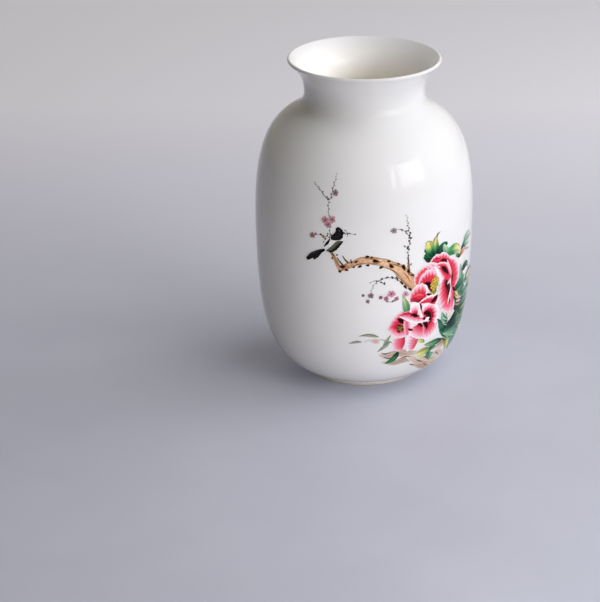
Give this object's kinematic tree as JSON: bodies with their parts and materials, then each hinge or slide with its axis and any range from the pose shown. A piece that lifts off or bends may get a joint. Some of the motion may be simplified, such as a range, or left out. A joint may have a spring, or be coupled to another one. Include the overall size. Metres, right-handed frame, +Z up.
{
  "type": "vase",
  "caption": "Full-bodied white porcelain vase with a narrow neck, flared mouth and foot ring, painted with a flower-and-bird spray, for holding cut flowers.",
  "frame": {"origin": "centre of the foot ring's underside, where the vase stands", "axes": "+Z up along the axis that the vase is turned about; the painted side faces -Y"},
  "size_m": [0.2008, 0.2008, 0.3016],
  "materials": {
    "glaze": "high-gloss clear glaze over white porcelain",
    "biscuit": "bare fired porcelain, wiped clean of glaze",
    "slip": "fired luting slip",
    "enamel": "glossy overglaze enamel colours"
  },
  "bodies": {
    "root": {"foot_ring": "biscuit", "foot_joint_slip": "slip", "lower_body": "glaze", "waist_joint_slip": "slip", "upper_body": "glaze", "neck_joint_slip": "slip", "flared_mouth": "glaze"}
  },
  "joints": []
}
